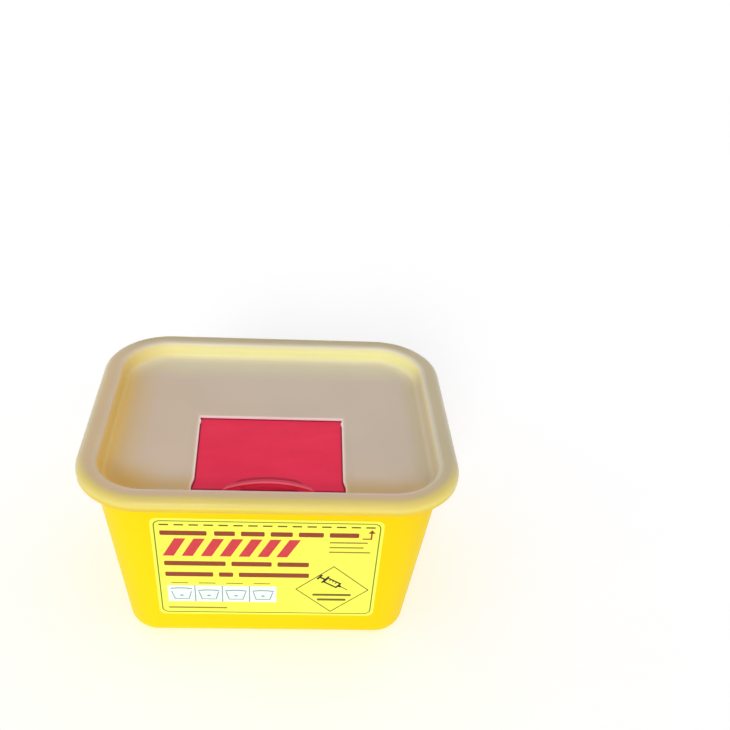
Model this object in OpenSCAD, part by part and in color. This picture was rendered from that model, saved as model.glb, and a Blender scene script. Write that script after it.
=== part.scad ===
// Sharps container: a tapered tub, a push-fit lid with a drop window, a slide that
// closes the window from below, and a sticker on the front wall.
// Millimetres. Origin at the centre of the tub's base, +Z up, front wall facing -Y.

/* [Tub] */
// Width of the tub just under the lid's skirt
tub_top_w = 236.5; // [232:0.5:240]
// Depth of the tub just under the lid's skirt
tub_top_d = 184.5; // [180:0.5:188]
// Width of the tub at its base
tub_base_w = 205.6; // [190:0.2:220]
// Depth of the tub at its base
tub_base_d = 153.6; // [140:0.2:168]
// Plan corner radius at the top
tub_top_r = 33; // [26:0.5:36]
// Plan corner radius at the base
tub_base_r = 22; // [18:0.5:30]
// Fillet along the base edge
base_fillet = 10; // [6:0.5:12]
// Wall thickness
wall = 1.6; // [1.4:0.1:2.2]
// Base thickness
base_t = 1.8; // [1.6:0.1:3]
// Width of the flat ring that the tub stands on
foot_w = 4; // [3:0.5:5]
// Rise of the base inside that ring
base_rise = 0.8; // [0.4:0.1:1.2]
// Outward step of the wall at the rim, where the lid plugs in
rim_step = 2.4; // [2:0.1:3]
// Number of stiffening gussets under each long side of the rim
long_gussets = 5; // [3:1:7]
// Number of stiffening gussets under each short side of the rim
short_gussets = 4; // [3:1:5]

/* [Lid] */
// Overall height, from the base to the lid's crown
height = 155; // [150:0.5:165]
// Outer width of the lid
lid_w = 260; // [256:0.5:264]
// Outer depth of the lid
lid_d = 208; // [204:0.5:212]
// Outer plan corner radius of the lid
lid_r = 48.4; // [44:0.2:50]
// Lid wall thickness
lid_t = 1.6; // [1.4:0.1:1.8]
// Flat width of the crown, from the skirt to the recess
crown_w = 13; // [12.5:0.1:13.5]
// Depth of the recess in the top of the lid
recess = 11.8; // [10:0.2:12.4]
// Rounding of the crown's outer edge
crown_round = 5.4; // [4:0.2:6]
// Drop of the skirt below the crown
skirt_drop = 8.8; // [8:0.2:10]

/* [Drop window] */
// Width of the window in the lid's floor, at its rear edge
window_w = 104.6; // [90:0.2:110]
// How far each side edge leans in from the rear corner to the flare
window_taper = 1.8; // [0:0.1:2.4]
// Window's rear edge, behind the centre line
window_rear = 6; // [4:0.5:6.5]
// Window's front edge, ahead of the centre line
window_front = 80; // [76:0.5:80]
// Extra width on each side at the front of the window
window_flare = 1.4; // [0:0.1:2.4]
// Depth of the needle-removal notches in the window's front edge
notch_depth = 4.2; // [2:0.1:4.2]

/* [Slide] */
// Thickness of the slide's plate
slide_t = 1.8; // [1.4:0.1:2]
// Overlap of the slide past the window's rear corners
slide_lap = 3.2; // [3:0.1:4]
// Height of the finger grip above the plate
grip_h = 5; // [3:0.5:6]
// Length of the grip from side to side
grip_w = 63; // [50:1:70]
// Radius of the grip's rear arc
grip_r = 60; // [54:1:66]
// Radius of the grip's front arc
grip_front_r = 64; // [60:1:70]
// Thickness of the grip from front to rear, at its middle
grip_t = 4; // [3:0.2:5]
// How far the slide travels to the rear before it meets its stops
slide_travel = 68.5; // [60:0.5:68.5]

/* [Label] */
// Width of the sticker
label_w = 157; // [120:1:160]
// Lower edge of the sticker above the base
label_low = 25.2; // [20:0.2:40]
// Upper edge of the sticker above the base
label_high = 129.6; // [100:0.2:134]
// Corner radius of the sticker
label_r = 5; // [2:0.5:8]
// Thickness of the sticker
label_t = 0.25; // [0.2:0.05:0.5]

/* [Hidden] */

YELLOW = [1, 0.87, 0.08];
MILKY = [0.86, 0.83, 0.72];
RED = [0.9, 0.22, 0.33];
STICKER = [1, 1, 0.35];

ARC_STEPS = 10;   // facets in each plan corner
EDGE_STEPS = 5;   // facets in each rounded edge
EPS = 0.01;
gap = 0.3;        // running clearance between the slide and the lid

// Heights
skirt_z = height - skirt_drop;
flare_z = skirt_z - 5.4;          // where the tub's wall starts to step out
rim_top = height - lid_t - 0.15;  // top of the tub's flange
floor_top = height - recess;
floor_low = floor_top - lid_t;

// The lid's rings, as distances in from its outer face
recess_in = crown_w + 1.3;        // recess wall just below the crown's inner rounding
recess_foot = recess_in + 1.6;    // recess wall at its foot, drafted inward
foot_round = 4.2;                 // inside fillet between recess wall and floor
inner_round = 2.6;                // rounding of the crown's inner edge

// The tub's flange, as distances in from the lid's outer face
flange_in = 3.4;
flange_t = 1.8;
lip_drop = 4.6;

// Slide
slide_top = floor_low - gap;
slide_half = window_w / 2 + slide_lap;
slide_front = -window_front - 5;
slide_rear = window_rear + 6.5;
grip_back = -window_front + 11.8; // rearmost point of the grip's arc
front_strip = 10;                 // length of the lower strip in front of the grip
strip_drop = 0.7;

// Rails under the lid's floor
rail_t = 1.8;
rail_gap = 0.6;                   // side clearance of the slide in its rails
rail_lap = 2.3;                   // how far each rail's lip reaches under the slide
rail_rear = slide_rear + slide_travel + 0.5;

// Label
function slope(top, base) = atan((top - base) / 2 / skirt_z);
front_tilt = slope(tub_top_d, tub_base_d);

function lerp(u, v, t) = u + (v - u) * t;

// A ring is [half width, half depth, corner radius, height]
function wall_ring(z, grow = 0) =
    let (t = z / skirt_z)
    [lerp(tub_base_w, tub_top_w, t) / 2 + grow,
     lerp(tub_base_d, tub_top_d, t) / 2 + grow,
     lerp(tub_base_r, tub_top_r, t) + grow,
     z];

function lid_ring(inset, z) = [lid_w / 2 - inset, lid_d / 2 - inset, lid_r - inset, z];

// A quarter-round edge as [inward distance, rise], from the side face to the flat face
function quarter(r) = [for (k = [0:EDGE_STEPS])
    let (a = 90 * k / EDGE_STEPS) [r * (1 - cos(a)), r * sin(a)]];

function ring_points(ring) = [for (q = [0:3], i = [0:ARC_STEPS])
    let (a = 90 * (q + i / ARC_STEPS),
         sx = (q == 0 || q == 3) ? 1 : -1,
         sy = q < 2 ? 1 : -1,
         r = ring[2])
    [sx * (ring[0] - r) + r * cos(a), sy * (ring[1] - r) + r * sin(a), ring[3]]];

// Closed shell through a stack of rings, with a flat cap on the first and the last
module shell(rings) {
    n = 4 * (ARC_STEPS + 1);
    last = len(rings) - 1;
    points = [for (ring = rings) each ring_points(ring)];
    sides = [for (k = [0:last - 1], i = [0:n - 1])
        let (a = k * n + i,
             b = k * n + (i + 1) % n)
        each [[a, a + n, b + n], [a, b + n, b]]];
    caps = [[for (i = [0:n - 1]) i], [for (i = [n - 1:-1:0]) last * n + i]];
    polyhedron(points = points, faces = concat(sides, caps));
}

// Rectangle with rounded corners, centred
module rounded_rect(w, d, r) {
    square([w - 2 * r, d], center = true);
    square([w, d - 2 * r], center = true);
    for (x = [-1, 1], y = [-1, 1])
        translate([x * (w / 2 - r), y * (d / 2 - r)])
            circle(r = r, $fn = 48);
}

function tub_outside() = concat(
    [wall_ring(base_rise, -base_fillet - foot_w - base_rise),
     wall_ring(0, -base_fillet - foot_w)],
    [for (e = [EDGE_STEPS:-1:0])
        let (q = quarter(base_fillet)[e])
        wall_ring(base_fillet - q[1], -q[0])],
    [wall_ring(flare_z)],
    [for (k = [1:4])
        let (t = k / 4)
        wall_ring(flare_z + 5 * t, rim_step * (1 - cos(180 * t)) / 2)],
    [wall_ring(rim_top - flange_t, rim_step),
     lid_ring(flange_in + 1.6, rim_top - flange_t),
     lid_ring(flange_in + 1.6, rim_top - lip_drop),
     lid_ring(flange_in, rim_top - lip_drop),
     lid_ring(flange_in, rim_top - 0.8),
     lid_ring(flange_in + 0.8, rim_top)]);

function tub_inside() = concat(
    [wall_ring(rim_top, rim_step - wall + 0.8),
     wall_ring(rim_top - 0.8, rim_step - wall)],
    [for (k = [4:-1:0])
        let (t = k / 4)
        wall_ring(flare_z + 5 * t, rim_step * (1 - cos(180 * t)) / 2 - wall)],
    [for (q = quarter(base_fillet - wall))
        wall_ring(base_rise + base_t + base_fillet - wall - q[1], -wall - q[0])]);

// Triangular web between the wall and the flange's lip, running outward along +X
module gusset(reach) {
    t = 1.4;
    foot = 6;
    hull() {
        translate([0, -t / 2, rim_top - flange_t]) cube([reach, t, EPS]);
        translate([0, -t / 2, rim_top - flange_t - foot]) cube([EPS, t, foot]);
    }
}

module gusset_row(count, span, out, reach) {
    for (i = [0:count - 1])
        translate([out, span * (i / (count - 1) - 0.5), 0])
            gusset(reach);
}

module tub() {
    x_out = tub_top_w / 2 + rim_step - wall / 2;
    y_out = tub_top_d / 2 + rim_step - wall / 2;
    reach = lid_w / 2 - flange_in - 0.8 - x_out;
    color(YELLOW) {
        shell(concat(tub_outside(), tub_inside()));
        for (turn = [0, 180])
            rotate([0, 0, turn]) {
                gusset_row(short_gussets, 100, x_out, reach);
                rotate([0, 0, 90]) gusset_row(long_gussets, 150, y_out, reach);
            }
    }
}

// The lid's hidden side, from the middle of its floor out to the skirt's lower edge
function lid_underside() = concat(
    [for (e = [EDGE_STEPS:-1:0])
        let (q = quarter(foot_round + lid_t)[e])
        lid_ring(recess_foot - lid_t + q[0], floor_low + foot_round + lid_t - q[1])],
    [lid_ring(recess_in - lid_t, height - inner_round),
     lid_ring(recess_in - lid_t - 1, height - lid_t),
     lid_ring(lid_t + 2.6, height - lid_t),
     lid_ring(lid_t + 0.8, height - lid_t - 1.2),
     lid_ring(lid_t, height - lid_t - 3.4),
     lid_ring(lid_t, skirt_z + 2.2),
     lid_ring(lid_t + 1, skirt_z + 1.5),
     lid_ring(lid_t + 1, skirt_z + 0.9),
     lid_ring(lid_t, skirt_z)]);

// The lid's visible side, from the skirt's lower edge over the crown to the recess floor
function lid_topside() = concat(
    [lid_ring(0.5, skirt_z), lid_ring(0, skirt_z + 0.6)],
    [for (q = quarter(crown_round)) lid_ring(q[0], height - crown_round + q[1])],
    [for (e = [EDGE_STEPS:-1:0])
        let (q = quarter(inner_round)[e])
        lid_ring(recess_in - q[0], height - inner_round + q[1])],
    [for (q = quarter(foot_round))
        lid_ring(recess_foot + q[0], floor_top + foot_round - q[1])]);

// Window outline: sides that lean in and then flare, with notches in front for pulling needles off
module window_outline() {
    rear_half = window_w / 2;
    waist_half = rear_half - window_taper;
    front_half = waist_half + window_flare;
    flare_y = -window_front + 15.8;
    wide_y = flare_y - 9;
    polygon([[-rear_half, window_rear], [-waist_half, flare_y],
             [-front_half, wide_y], [-front_half, -window_front],
             [front_half, -window_front], [front_half, wide_y],
             [waist_half, flare_y], [rear_half, window_rear]]);
    for (x = [-34, 34])
        translate([x, -window_front]) needle_notch();
}

// Funnel that narrows to a slot, opening toward +Y
module needle_notch() {
    mouth = 4.5;
    slot = 1.2;
    neck = notch_depth * 0.55;
    polygon([[-mouth, EPS], [-slot, -neck], [-slot, -notch_depth],
             [slot, -notch_depth], [slot, -neck], [mouth, EPS]]);
}

// L-shaped rail under the floor, on the +X side, with tapered ends
module rail() {
    web_x = slide_half + rail_gap;
    lip_x = slide_half - rail_lap;
    lip_top = slide_top - slide_t - gap;
    low = lip_top - lid_t;
    front = slide_front - 1;
    taper = 4;
    hull() {
        translate([web_x, front, floor_low]) cube([rail_t, rail_rear - front, lid_t / 2]);
        translate([web_x, front + taper / 2, low])
            cube([rail_t, rail_rear - front - taper, EPS]);
    }
    hull() {
        translate([web_x, front + taper / 2, low])
            cube([rail_t, rail_rear - front - taper, lid_t]);
        translate([lip_x, front + taper, low + 0.3])
            cube([rail_t, rail_rear - front - 2 * taper, lid_t - 0.3]);
    }
}

// Rounded nib on the window's side edge near its rear corner, on the +X side
module edge_nib() {
    x = window_w / 2;
    hull()
        for (y = [window_rear - 7.5, window_rear - 3.5])
            translate([x, y, floor_low]) cylinder(h = lid_t, r = 1, $fn = 24);
}

// Bar under the floor that the slide's front edge meets when it is closed
module front_stop() {
    long = 40;
    low = slide_top - slide_t;
    y = slide_front - 0.4;
    hull() {
        translate([-long / 2, y - 2, floor_low]) cube([long, 2, lid_t]);
        translate([-long / 2, y - 1.4, low]) cube([long, 1.4, EPS]);
    }
}

// Boss under the floor at the end of each rail, which keeps the slide in
module rear_stop() {
    hull() {
        translate([slide_half - 8, rail_rear, floor_low]) cube([10.4, 2, lid_t]);
        translate([slide_half - 8, rail_rear, slide_top - slide_t])
            cube([10.4, 1.2, EPS]);
    }
}

module lid() {
    color(MILKY) {
        difference() {
            shell(concat(lid_underside(), lid_topside()));
            translate([0, 0, floor_low - 1])
                linear_extrude(height = lid_t + 2) window_outline();
        }
        for (side = [0, 1])
            mirror([side, 0, 0]) {
                rail();
                edge_nib();
                rear_stop();
            }
        front_stop();
    }
}

// Half-moon rib: the strip between two arcs, cut straight at the front
module grip_outline() {
    intersection() {
        difference() {
            translate([0, grip_back - grip_r]) circle(r = grip_r, $fn = 96);
            translate([0, grip_back - grip_t - grip_front_r])
                circle(r = grip_front_r, $fn = 96);
        }
        translate([-grip_w / 2, slide_front + 5.6])
            square([grip_w, window_front]);
    }
}

module slide_cover() {
    strip_y = slide_front + front_strip;
    low = slide_top - slide_t;
    color(RED) {
        translate([-slide_half, strip_y, low])
            cube([2 * slide_half, slide_rear - strip_y, slide_t]);
        translate([-slide_half, slide_front, low])
            cube([2 * slide_half, front_strip + EPS, slide_t - strip_drop]);
        translate([0, 0, low + EPS])
            linear_extrude(height = slide_t + grip_h) grip_outline();
    }
}

module front_label() {
    long = (label_high - label_low) / cos(front_tilt);
    mid_z = (label_high + label_low) / 2;
    color(STICKER)
        translate([0, -wall_ring(mid_z)[1], mid_z])
            rotate([90 + front_tilt, 0, 0])
                linear_extrude(height = label_t)
                    rounded_rect(label_w, long, label_r);
}

tub();
lid();
slide_cover();
front_label();
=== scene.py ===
"""Sharps container: the looks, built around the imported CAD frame.

Metres, +Z up, origin at the centre of the base, front wall facing -Y.
Each moulding is a stack of rounded-rectangle rings, and the print is thin raised ink.
"""
import math

import bmesh
import bpy
from mathutils import Matrix, Vector


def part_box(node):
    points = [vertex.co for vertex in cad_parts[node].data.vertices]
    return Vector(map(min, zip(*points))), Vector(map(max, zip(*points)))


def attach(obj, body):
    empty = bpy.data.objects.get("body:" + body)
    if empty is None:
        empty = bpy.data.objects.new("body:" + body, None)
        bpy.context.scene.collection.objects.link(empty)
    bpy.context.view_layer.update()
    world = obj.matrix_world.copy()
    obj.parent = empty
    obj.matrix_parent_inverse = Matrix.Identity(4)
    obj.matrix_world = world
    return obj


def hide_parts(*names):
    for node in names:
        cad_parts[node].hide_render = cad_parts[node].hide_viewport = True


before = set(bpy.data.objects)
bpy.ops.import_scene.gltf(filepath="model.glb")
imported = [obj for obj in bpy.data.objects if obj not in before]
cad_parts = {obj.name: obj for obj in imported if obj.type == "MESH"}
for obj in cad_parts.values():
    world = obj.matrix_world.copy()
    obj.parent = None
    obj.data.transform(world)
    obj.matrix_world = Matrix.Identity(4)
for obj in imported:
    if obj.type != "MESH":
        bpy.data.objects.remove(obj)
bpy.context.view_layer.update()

MM = 0.001

# ---------------------------------------------------------------- sizes, millimetres
LID_LOW, LID_HIGH = (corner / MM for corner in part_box("lid"))
SLIDE_LOW, SLIDE_HIGH = (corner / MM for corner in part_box("slide_cover"))
LABEL_LOW, LABEL_HIGH = (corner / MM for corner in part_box("front_label"))

LID_W = LID_HIGH.x - LID_LOW.x
LID_D = LID_HIGH.y - LID_LOW.y
HEIGHT = LID_HIGH.z
LID_R = 48.4          # plan corner radius
LID_T = 1.6           # lid wall
SKIRT_Z = HEIGHT - 8.8
RECESS_IN = 14.3      # from the skirt in to the recess wall, at its top
FOOT_IN = 15.9        # the same at the wall's foot
RECESS = 11.8         # depth of the recess
CROWN_ROUND = 5.4
INNER_ROUND = 2.6
FOOT_ROUND = 4.2
FLOOR_TOP = HEIGHT - RECESS
FLOOR_LOW = FLOOR_TOP - LID_T

TUB_TOP_W, TUB_TOP_D, TUB_TOP_R = 236.5, 184.5, 33.0
TUB_BASE_W, TUB_BASE_D, TUB_BASE_R = 205.6, 153.6, 22.0
WALL = 1.6
BASE_T = 1.8
BASE_FILLET = 10.0
FOOT_W = 4.0
BASE_RISE = 0.8
RIM_STEP = 2.4
RIM_TOP = HEIGHT - LID_T - 0.15
FLARE_Z = SKIRT_Z - 5.4
FLANGE_IN = 3.4       # from the lid's skirt in to the tub's flange
FLANGE_T = 1.8
LIP_DROP = 4.6
LIP_T = 1.6
RIM_FLARE = 5.0       # height over which the wall steps outward
RIM_EDGE = 0.8        # rounding of the flange's and the rim's edges
RIM_EDGE_MID = 0.25   # its middle point, in from both faces

WINDOW_HALF = 52.3    # at the rear edge
WINDOW_TAPER = 1.8    # lean of each side edge, from the rear corner to the flare
WINDOW_REAR = 6.0
WINDOW_FRONT = -80.0
WINDOW_FLARE = 1.4
FLARE_START = WINDOW_FRONT + 15.8
FLARE_END = WINDOW_FRONT + 6.8
NIB_REAR = WINDOW_REAR - 3.0
NIB_FRONT = WINDOW_REAR - 8.0
NIB_OUT = 0.8
NOTCH_X = 34.0        # needle notches, out from the centre plane

RAIL_GAP = 0.6        # beside the slide
RAIL_AHEAD = 1.0      # rail past the closed slide's front edge
RAIL_PAST = 0.5       # rail past the open slide's rear edge
RAIL_WEB = 1.8
RAIL_LIP = 2.3        # reach of the rail's lip under the slide
RAIL_LIP_CHAMFER = 0.3
RAIL_RAMP = 2.0       # slope of the rail's ends
STOP_IN = 8.0         # from the slide's side in to a rear stop's inner end
STOP_CLEAR = 0.2      # from a rear stop to the rail's web
STOP_TIP = 1.2        # thickness of a rear stop at its tip
STOP_ROOT = 2.0
FRONT_STOP_HALF = 20.0
FRONT_STOP_GAP = 0.4
FRONT_STOP_TIP = 1.4

SLIDE_T = 1.8
SLIDE_GAP = 0.3
STRIP_DROP = 0.7
STRIP_LENGTH = 10.0
STRIP_SLOPE = 0.6
GRIP_HALF = 31.5
GRIP_R = 60.0         # rear arc
GRIP_FRONT_R = 64.0   # front arc
GRIP_T = 4.0
GRIP_BACK = WINDOW_FRONT + 11.8
GRIP_FRONT = WINDOW_FRONT + 0.6
GRIP_RUNOUT = 0.86    # share of the half length where the ends start to run down
GRIP_END_RISE = 0.05
GRIP_STATIONS = 56
GRIP_SHADE = 7.6      # how far the shade behind the grip reaches
SLIDE_TRAVEL = 68.5

LABEL_T = 0.25
INK_T = 0.08
MITRE_LIMIT = 0.3     # smallest cosine that a mitred corner allows for

CORNER_STEPS = 22     # facets in each plan corner
EDGE_STEPS = 8        # facets in each rounded edge


# ---------------------------------------------------------------- mesh helpers
def lerp(a, b, t):
    """The value at share t of the way from a to b."""
    return a + (b - a) * t


def new_object(name, bm):
    """Turns a bmesh drawn in millimetres into an object in metres."""
    bmesh.ops.scale(bm, vec=(MM, MM, MM), verts=bm.verts)
    bmesh.ops.recalc_face_normals(bm, faces=bm.faces)
    mesh = bpy.data.meshes.new(name)
    bm.to_mesh(mesh)
    bm.free()
    obj = bpy.data.objects.new(name, mesh)
    bpy.context.scene.collection.objects.link(obj)
    return obj


def bake_modifiers(obj):
    """Replaces the object's mesh with the one that its modifiers make."""
    depsgraph = bpy.context.evaluated_depsgraph_get()
    mesh = bpy.data.meshes.new_from_object(obj.evaluated_get(depsgraph))
    obj.modifiers.clear()
    obj.data = mesh
    return obj


def boolean(obj, other, operation):
    """Adds or cuts another object, which is used up."""
    mod = obj.modifiers.new("boolean", "BOOLEAN")
    mod.operation = operation
    mod.solver = "EXACT"
    mod.use_self = True
    mod.object = other
    bake_modifiers(obj)
    bpy.data.objects.remove(other)
    return obj


def finish_surface(obj, bevel_mm=0.0, angle=35, segments=3):
    """Rounds the sharp edges, then shades smooth with flat faces kept flat."""
    if bevel_mm:
        mod = obj.modifiers.new("edges", "BEVEL")
        mod.width = bevel_mm * MM
        mod.segments = segments
        mod.limit_method = "ANGLE"
        mod.angle_limit = math.radians(angle)
        mod.use_clamp_overlap = True
        bake_modifiers(obj)
    bm = bmesh.new()
    bm.from_mesh(obj.data)
    bmesh.ops.dissolve_degenerate(bm, dist=0.002 * MM, edges=bm.edges)
    bm.to_mesh(obj.data)
    bm.free()
    for poly in obj.data.polygons:
        poly.use_smooth = True
    mod = obj.modifiers.new("normals", "WEIGHTED_NORMAL")
    mod.keep_sharp = True
    mod.weight = 80
    return obj


def rounded_box(half_w, half_d, radius, steps):
    """Outline of a rectangle with rounded corners round the origin, anticlockwise from +X."""
    points = []
    for quarter, (sx, sy) in enumerate(((1, 1), (-1, 1), (-1, -1), (1, -1))):
        for step in range(steps + 1):
            a = math.pi / 2 * (quarter + step / steps)
            points.append((
                sx * (half_w - radius) + radius * math.cos(a),
                sy * (half_d - radius) + radius * math.sin(a),
            ))
    return points


def skin(bm, rows, closed=False):
    """Faces between rows of vertices, with a cap at each end unless the last row meets the first."""
    pairs = list(zip(rows, rows[1:]))
    if closed:
        pairs.append((rows[-1], rows[0]))
    for here, there in pairs:
        for i in range(len(here)):
            j = (i + 1) % len(here)
            bm.faces.new((here[i], here[j], there[j], there[i]))
    if not closed:
        bm.faces.new(list(reversed(rows[0])))
        bm.faces.new(rows[-1])


def shell(name, rings):
    """Closed solid through a stack of (half width, half depth, corner radius, height) rings."""
    bm = bmesh.new()
    rows = []
    for half_w, half_d, radius, z in rings:
        outline = rounded_box(half_w, half_d, radius, CORNER_STEPS)
        rows.append([bm.verts.new((x, y, z)) for x, y in outline])
    skin(bm, rows)
    return new_object(name, bm)


def quarter_round(radius):
    """A rounded edge as (inward distance, rise), from the side face to the flat face."""
    steps = [math.pi / 2 * k / EDGE_STEPS for k in range(EDGE_STEPS + 1)]
    return [(radius * (1 - math.cos(a)), radius * math.sin(a)) for a in steps]


def add_prism(bm, outline, low, high):
    """Straight-sided solid over an outline of (x, y) points."""
    skin(bm, [[bm.verts.new((x, y, z)) for x, y in outline] for z in (low, high)])


def add_wedge(bm, low_box, high_box):
    """Solid between two axis-aligned rectangles at two heights: (x0, x1, y0, y1, z) each."""
    rows = []
    for x0, x1, y0, y1, z in (low_box, high_box):
        corners = ((x0, y0), (x1, y0), (x1, y1), (x0, y1))
        rows.append([bm.verts.new((x, y, z)) for x, y in corners])
    skin(bm, rows)


# ---------------------------------------------------------------- tub
def wall_ring(z, grow=0.0):
    """The tub's drafted outer wall at one height, grown or shrunk."""
    t = z / SKIRT_Z
    return (
        lerp(TUB_BASE_W, TUB_TOP_W, t) / 2 + grow,
        lerp(TUB_BASE_D, TUB_TOP_D, t) / 2 + grow,
        lerp(TUB_BASE_R, TUB_TOP_R, t) + grow,
        z,
    )


def lid_ring(inset, z):
    """The lid's outline at one height, inset from the skirt."""
    return (LID_W / 2 - inset, LID_D / 2 - inset, LID_R - inset, z)


def rim_flare(inset):
    """The wall's smooth step outward below the rim."""
    rings = []
    for k in range(EDGE_STEPS + 1):
        t = k / EDGE_STEPS
        step = RIM_STEP * (1 - math.cos(math.pi * t)) / 2
        rings.append(wall_ring(FLARE_Z + RIM_FLARE * t, step - inset))
    return rings


def tub_rings():
    """From the middle of the base out, up the wall, over the flange, and down the inside."""
    inside_fillet = BASE_FILLET - WALL
    inside_floor = BASE_RISE + BASE_T
    rings = [
        wall_ring(BASE_RISE, -BASE_FILLET - FOOT_W - BASE_RISE),
        wall_ring(0, -BASE_FILLET - FOOT_W),
    ]
    rings += [
        wall_ring(BASE_FILLET - rise, -inward)
        for inward, rise in reversed(quarter_round(BASE_FILLET))
    ]
    rings += rim_flare(0)
    rings += [
        wall_ring(RIM_TOP - FLANGE_T, RIM_STEP),
        lid_ring(FLANGE_IN + LIP_T, RIM_TOP - FLANGE_T),
        lid_ring(FLANGE_IN + LIP_T, RIM_TOP - LIP_DROP),
        lid_ring(FLANGE_IN, RIM_TOP - LIP_DROP),
        lid_ring(FLANGE_IN, RIM_TOP - RIM_EDGE),
        lid_ring(FLANGE_IN + RIM_EDGE_MID, RIM_TOP - RIM_EDGE_MID),
        lid_ring(FLANGE_IN + RIM_EDGE, RIM_TOP),
        wall_ring(RIM_TOP, RIM_STEP - WALL + RIM_EDGE),
        wall_ring(RIM_TOP - RIM_EDGE_MID, RIM_STEP - WALL + RIM_EDGE_MID),
        wall_ring(RIM_TOP - RIM_EDGE, RIM_STEP - WALL),
    ]
    rings += list(reversed(rim_flare(WALL)))
    rings += [
        wall_ring(inside_floor + inside_fillet - rise, -WALL - inward)
        for inward, rise in quarter_round(inside_fillet)
    ]
    return rings


def make_gussets():
    """Stiffening webs between the wall and the flange's lip."""
    half_t = 0.7
    drop = 6.0            # below the flange
    sunk = 0.2            # into the flange
    toe = 0.01            # a web's width at its foot
    top = RIM_TOP - FLANGE_T
    bm = bmesh.new()
    long_sides = (5, 150.0, TUB_TOP_D / 2, LID_D / 2, 90)
    short_sides = (4, 100.0, TUB_TOP_W / 2, LID_W / 2, 0)
    for count, span, wall_at, lid_at, angle in (long_sides, short_sides):
        out = wall_at + RIM_STEP - WALL / 2
        reach = lid_at - FLANGE_IN - RIM_EDGE
        for turn in (0, 180):
            for i in range(count):
                along = span * (i / (count - 1) - 0.5)
                made = len(bm.verts)
                add_wedge(
                    bm,
                    (out, out + toe, along - half_t, along + half_t, top - drop),
                    (out, reach, along - half_t, along + half_t, top + sunk),
                )
                bm.verts.ensure_lookup_table()
                bmesh.ops.rotate(
                    bm,
                    verts=bm.verts[made:],
                    matrix=Matrix.Rotation(math.radians(angle + turn), 3, "Z"),
                )
    return new_object("gussets", bm)


def make_gate_mark():
    """Moulding scar in the middle of the base: a low disc with a nub."""
    disc = (7.0, 0.3, 0.3)    # radius, height, taper
    nub = (1.3, 0.55, 0.2)
    top = BASE_RISE + 0.4     # inside the base
    bm = bmesh.new()
    for radius, height, taper in (disc, nub):
        low = BASE_RISE - height
        bmesh.ops.create_cone(
            bm,
            cap_ends=True,
            segments=48,
            radius1=radius - taper,
            radius2=radius,
            depth=top - low,
            matrix=Matrix.Translation((0, 0, (low + top) / 2)),
        )
    return new_object("gate_mark", bm)


def make_tub():
    """The tub: walls, base, rim and flange, with its webs and gate mark."""
    tub = shell("tub_moulding", tub_rings())
    boolean(tub, make_gussets(), "UNION")
    boolean(tub, make_gate_mark(), "UNION")
    finish_surface(tub, bevel_mm=0.25, angle=50, segments=2)
    tub.data.materials.append(tub_material())
    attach(tub, "tub")
    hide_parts("tub")
    return tub


# ---------------------------------------------------------------- lid
def lid_rings():
    """From the middle of the floor's underside, out round the skirt, and back over the top."""
    outer_foot = FOOT_ROUND + LID_T
    inner = RECESS_IN - LID_T
    under = HEIGHT - LID_T
    # each pair is the inset from the skirt and the height
    crown_inside = (
        (inner, HEIGHT - INNER_ROUND),
        (inner - 0.3, under - 0.3),
        (inner - 1, under),
        (LID_T + 2.6, under),
        (LID_T + 0.8, under - 1.2),
        (LID_T, under - 3.4),
    )
    bead = (
        (LID_T, SKIRT_Z + 2.2),
        (LID_T + 1, SKIRT_Z + 1.5),
        (LID_T + 1, SKIRT_Z + 0.9),
        (LID_T, SKIRT_Z + 0.2),
    )
    skirt_edge = (
        (LID_T - 0.2, SKIRT_Z),
        (0.6, SKIRT_Z),
        (0.18, SKIRT_Z + 0.18),
        (0, SKIRT_Z + 0.6),
    )
    rings = [
        lid_ring(FOOT_IN - LID_T + inward, FLOOR_LOW + outer_foot - rise)
        for inward, rise in reversed(quarter_round(outer_foot))
    ]
    rings += [lid_ring(inset, z) for inset, z in crown_inside + bead + skirt_edge]
    rings += [
        lid_ring(inward, HEIGHT - CROWN_ROUND + rise)
        for inward, rise in quarter_round(CROWN_ROUND)
    ]
    rings += [
        lid_ring(RECESS_IN - inward, HEIGHT - INNER_ROUND + rise)
        for inward, rise in reversed(quarter_round(INNER_ROUND))
    ]
    rings += [
        lid_ring(FOOT_IN + inward, FLOOR_TOP + FOOT_ROUND - rise)
        for inward, rise in quarter_round(FOOT_ROUND)
    ]
    return rings


def window_edge(y):
    """Half width of the window at y, before its flare."""
    return WINDOW_HALF - WINDOW_TAPER * (WINDOW_REAR - y) / (WINDOW_REAR - FLARE_START)


def window_side():
    """The window's +X edge, from front to rear: flared in front, with a nib near the rear."""
    waist = window_edge(FLARE_START)
    steps = [k / EDGE_STEPS for k in range(EDGE_STEPS + 1)]
    points = [(waist + WINDOW_FLARE, WINDOW_FRONT)]
    for t in steps:
        ease = (1 + math.cos(math.pi * t)) / 2
        points.append((waist + WINDOW_FLARE * ease, lerp(FLARE_END, FLARE_START, t)))
    for t in steps:
        y = lerp(NIB_FRONT, NIB_REAR, t)
        points.append((window_edge(y) - NIB_OUT * math.sin(math.pi * t), y))
    points.append((WINDOW_HALF, WINDOW_REAR))
    return points


def needle_notch(x):
    """Funnel that narrows to a slot in the window's front edge, from its -X end."""
    mouth, slot, neck, depth = 4.5, 1.2, 2.3, 4.2
    return [
        (x - mouth, WINDOW_FRONT),
        (x - slot, WINDOW_FRONT - neck),
        (x - slot, WINDOW_FRONT - depth),
        (x + slot, WINDOW_FRONT - depth),
        (x + slot, WINDOW_FRONT - neck),
        (x + mouth, WINDOW_FRONT),
    ]


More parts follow.
